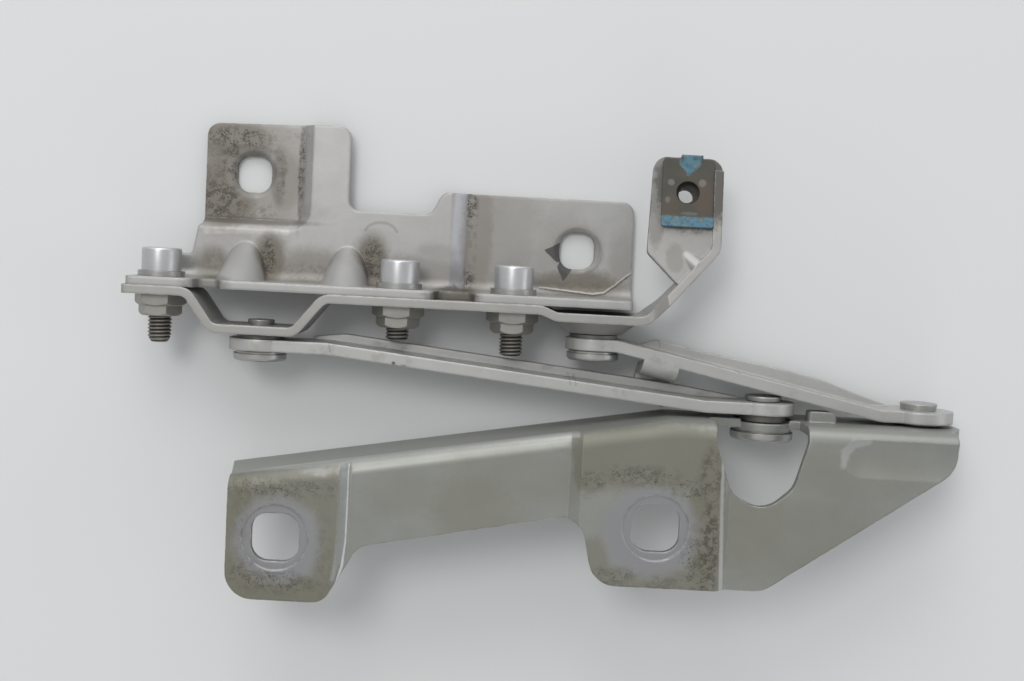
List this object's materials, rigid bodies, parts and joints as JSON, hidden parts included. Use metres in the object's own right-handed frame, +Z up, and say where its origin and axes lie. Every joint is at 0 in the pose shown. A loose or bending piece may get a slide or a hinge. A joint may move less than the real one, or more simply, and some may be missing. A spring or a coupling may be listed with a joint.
{
  "type": "bonnet hinge",
  "caption": "Four-bar bonnet hinge: stamped body and bonnet brackets joined by two riveted links, with a bolted pivot plate, stop tab and clip nut.",
  "frame": {"origin": "middle of the front hole of the body bracket, on the underside of its pad", "axes": "+X along the car towards the rear, +Y outboard, +Z up; the pivot axes run along Y; the hinge is stored closed"},
  "size_m": [0.2868, 0.1592, 0.043],
  "materials": {
    "body_paint": "satin, worn",
    "plate_paint": "satin, worn",
    "link_paint": "satin, worn",
    "bonnet_paint": "satin, worn",
    "clip_steel": "dull, with paint marks",
    "rivet_steel": "satin",
    "bush_metal": "dull",
    "washer_steel": "satin",
    "bolt_zinc": "bright zinc",
    "nut_zinc": "satin zinc"
  },
  "bodies": {
    "body_side": {"body_bracket": "body_paint", "pivot_plate": "plate_paint", "clip_nut_body": "clip_steel", "clip_nut_barrel": "clip_steel", "flange_bolt_1": "bolt_zinc", "flange_bolt_2": "bolt_zinc", "flange_bolt_3": "bolt_zinc", "bolt_washer_1": "washer_steel", "bolt_washer_2": "washer_steel", "bolt_washer_3": "washer_steel", "flange_nut_1": "nut_zinc", "flange_nut_2": "nut_zinc", "flange_nut_3": "nut_zinc", "pivot_rivet_a": "rivet_steel", "pivot_rivet_b": "rivet_steel", "pivot_washer_a": "washer_steel", "pivot_washer_b": "washer_steel"},
    "long_link_body": {"long_link": "link_paint", "pivot_bush_a": "bush_metal", "pivot_bush_c": "bush_metal"},
    "short_link_body": {"short_link": "link_paint", "pivot_bush_b": "bush_metal", "pivot_rivet_d": "rivet_steel", "pivot_spacer_d": "bush_metal", "pivot_washer_d": "washer_steel"},
    "bonnet_side": {"bonnet_bracket": "bonnet_paint", "pivot_rivet_c": "rivet_steel", "pivot_washer_c": "washer_steel"}
  },
  "joints": [
    {"name": "long_link_swing", "type": "hinge", "parent": "body_side", "child": "long_link_body", "pos_m": [0.0075, -0.055, 0.018], "axis": [0, -1, 0], "range_deg": [0, 48]},
    {"name": "short_link_swing", "type": "hinge", "parent": "body_side", "child": "short_link_body", "pos_m": [0.122, -0.05, 0.014], "axis": [0, -1, 0], "range_deg": [0, 65]},
    {"name": "bonnet_swing", "type": "hinge", "parent": "long_link_body", "child": "bonnet_side", "pos_m": [0.1814, -0.073, 0.018], "axis": [0, 1, 0], "range_deg": [0, 75]}
  ],
  "couplings": [
    {"joint": "short_link_swing", "follows": "long_link_swing", "ratio": 1.3376},
    {"joint": "bonnet_swing", "follows": "long_link_swing", "ratio": 1.5528}
  ]
}
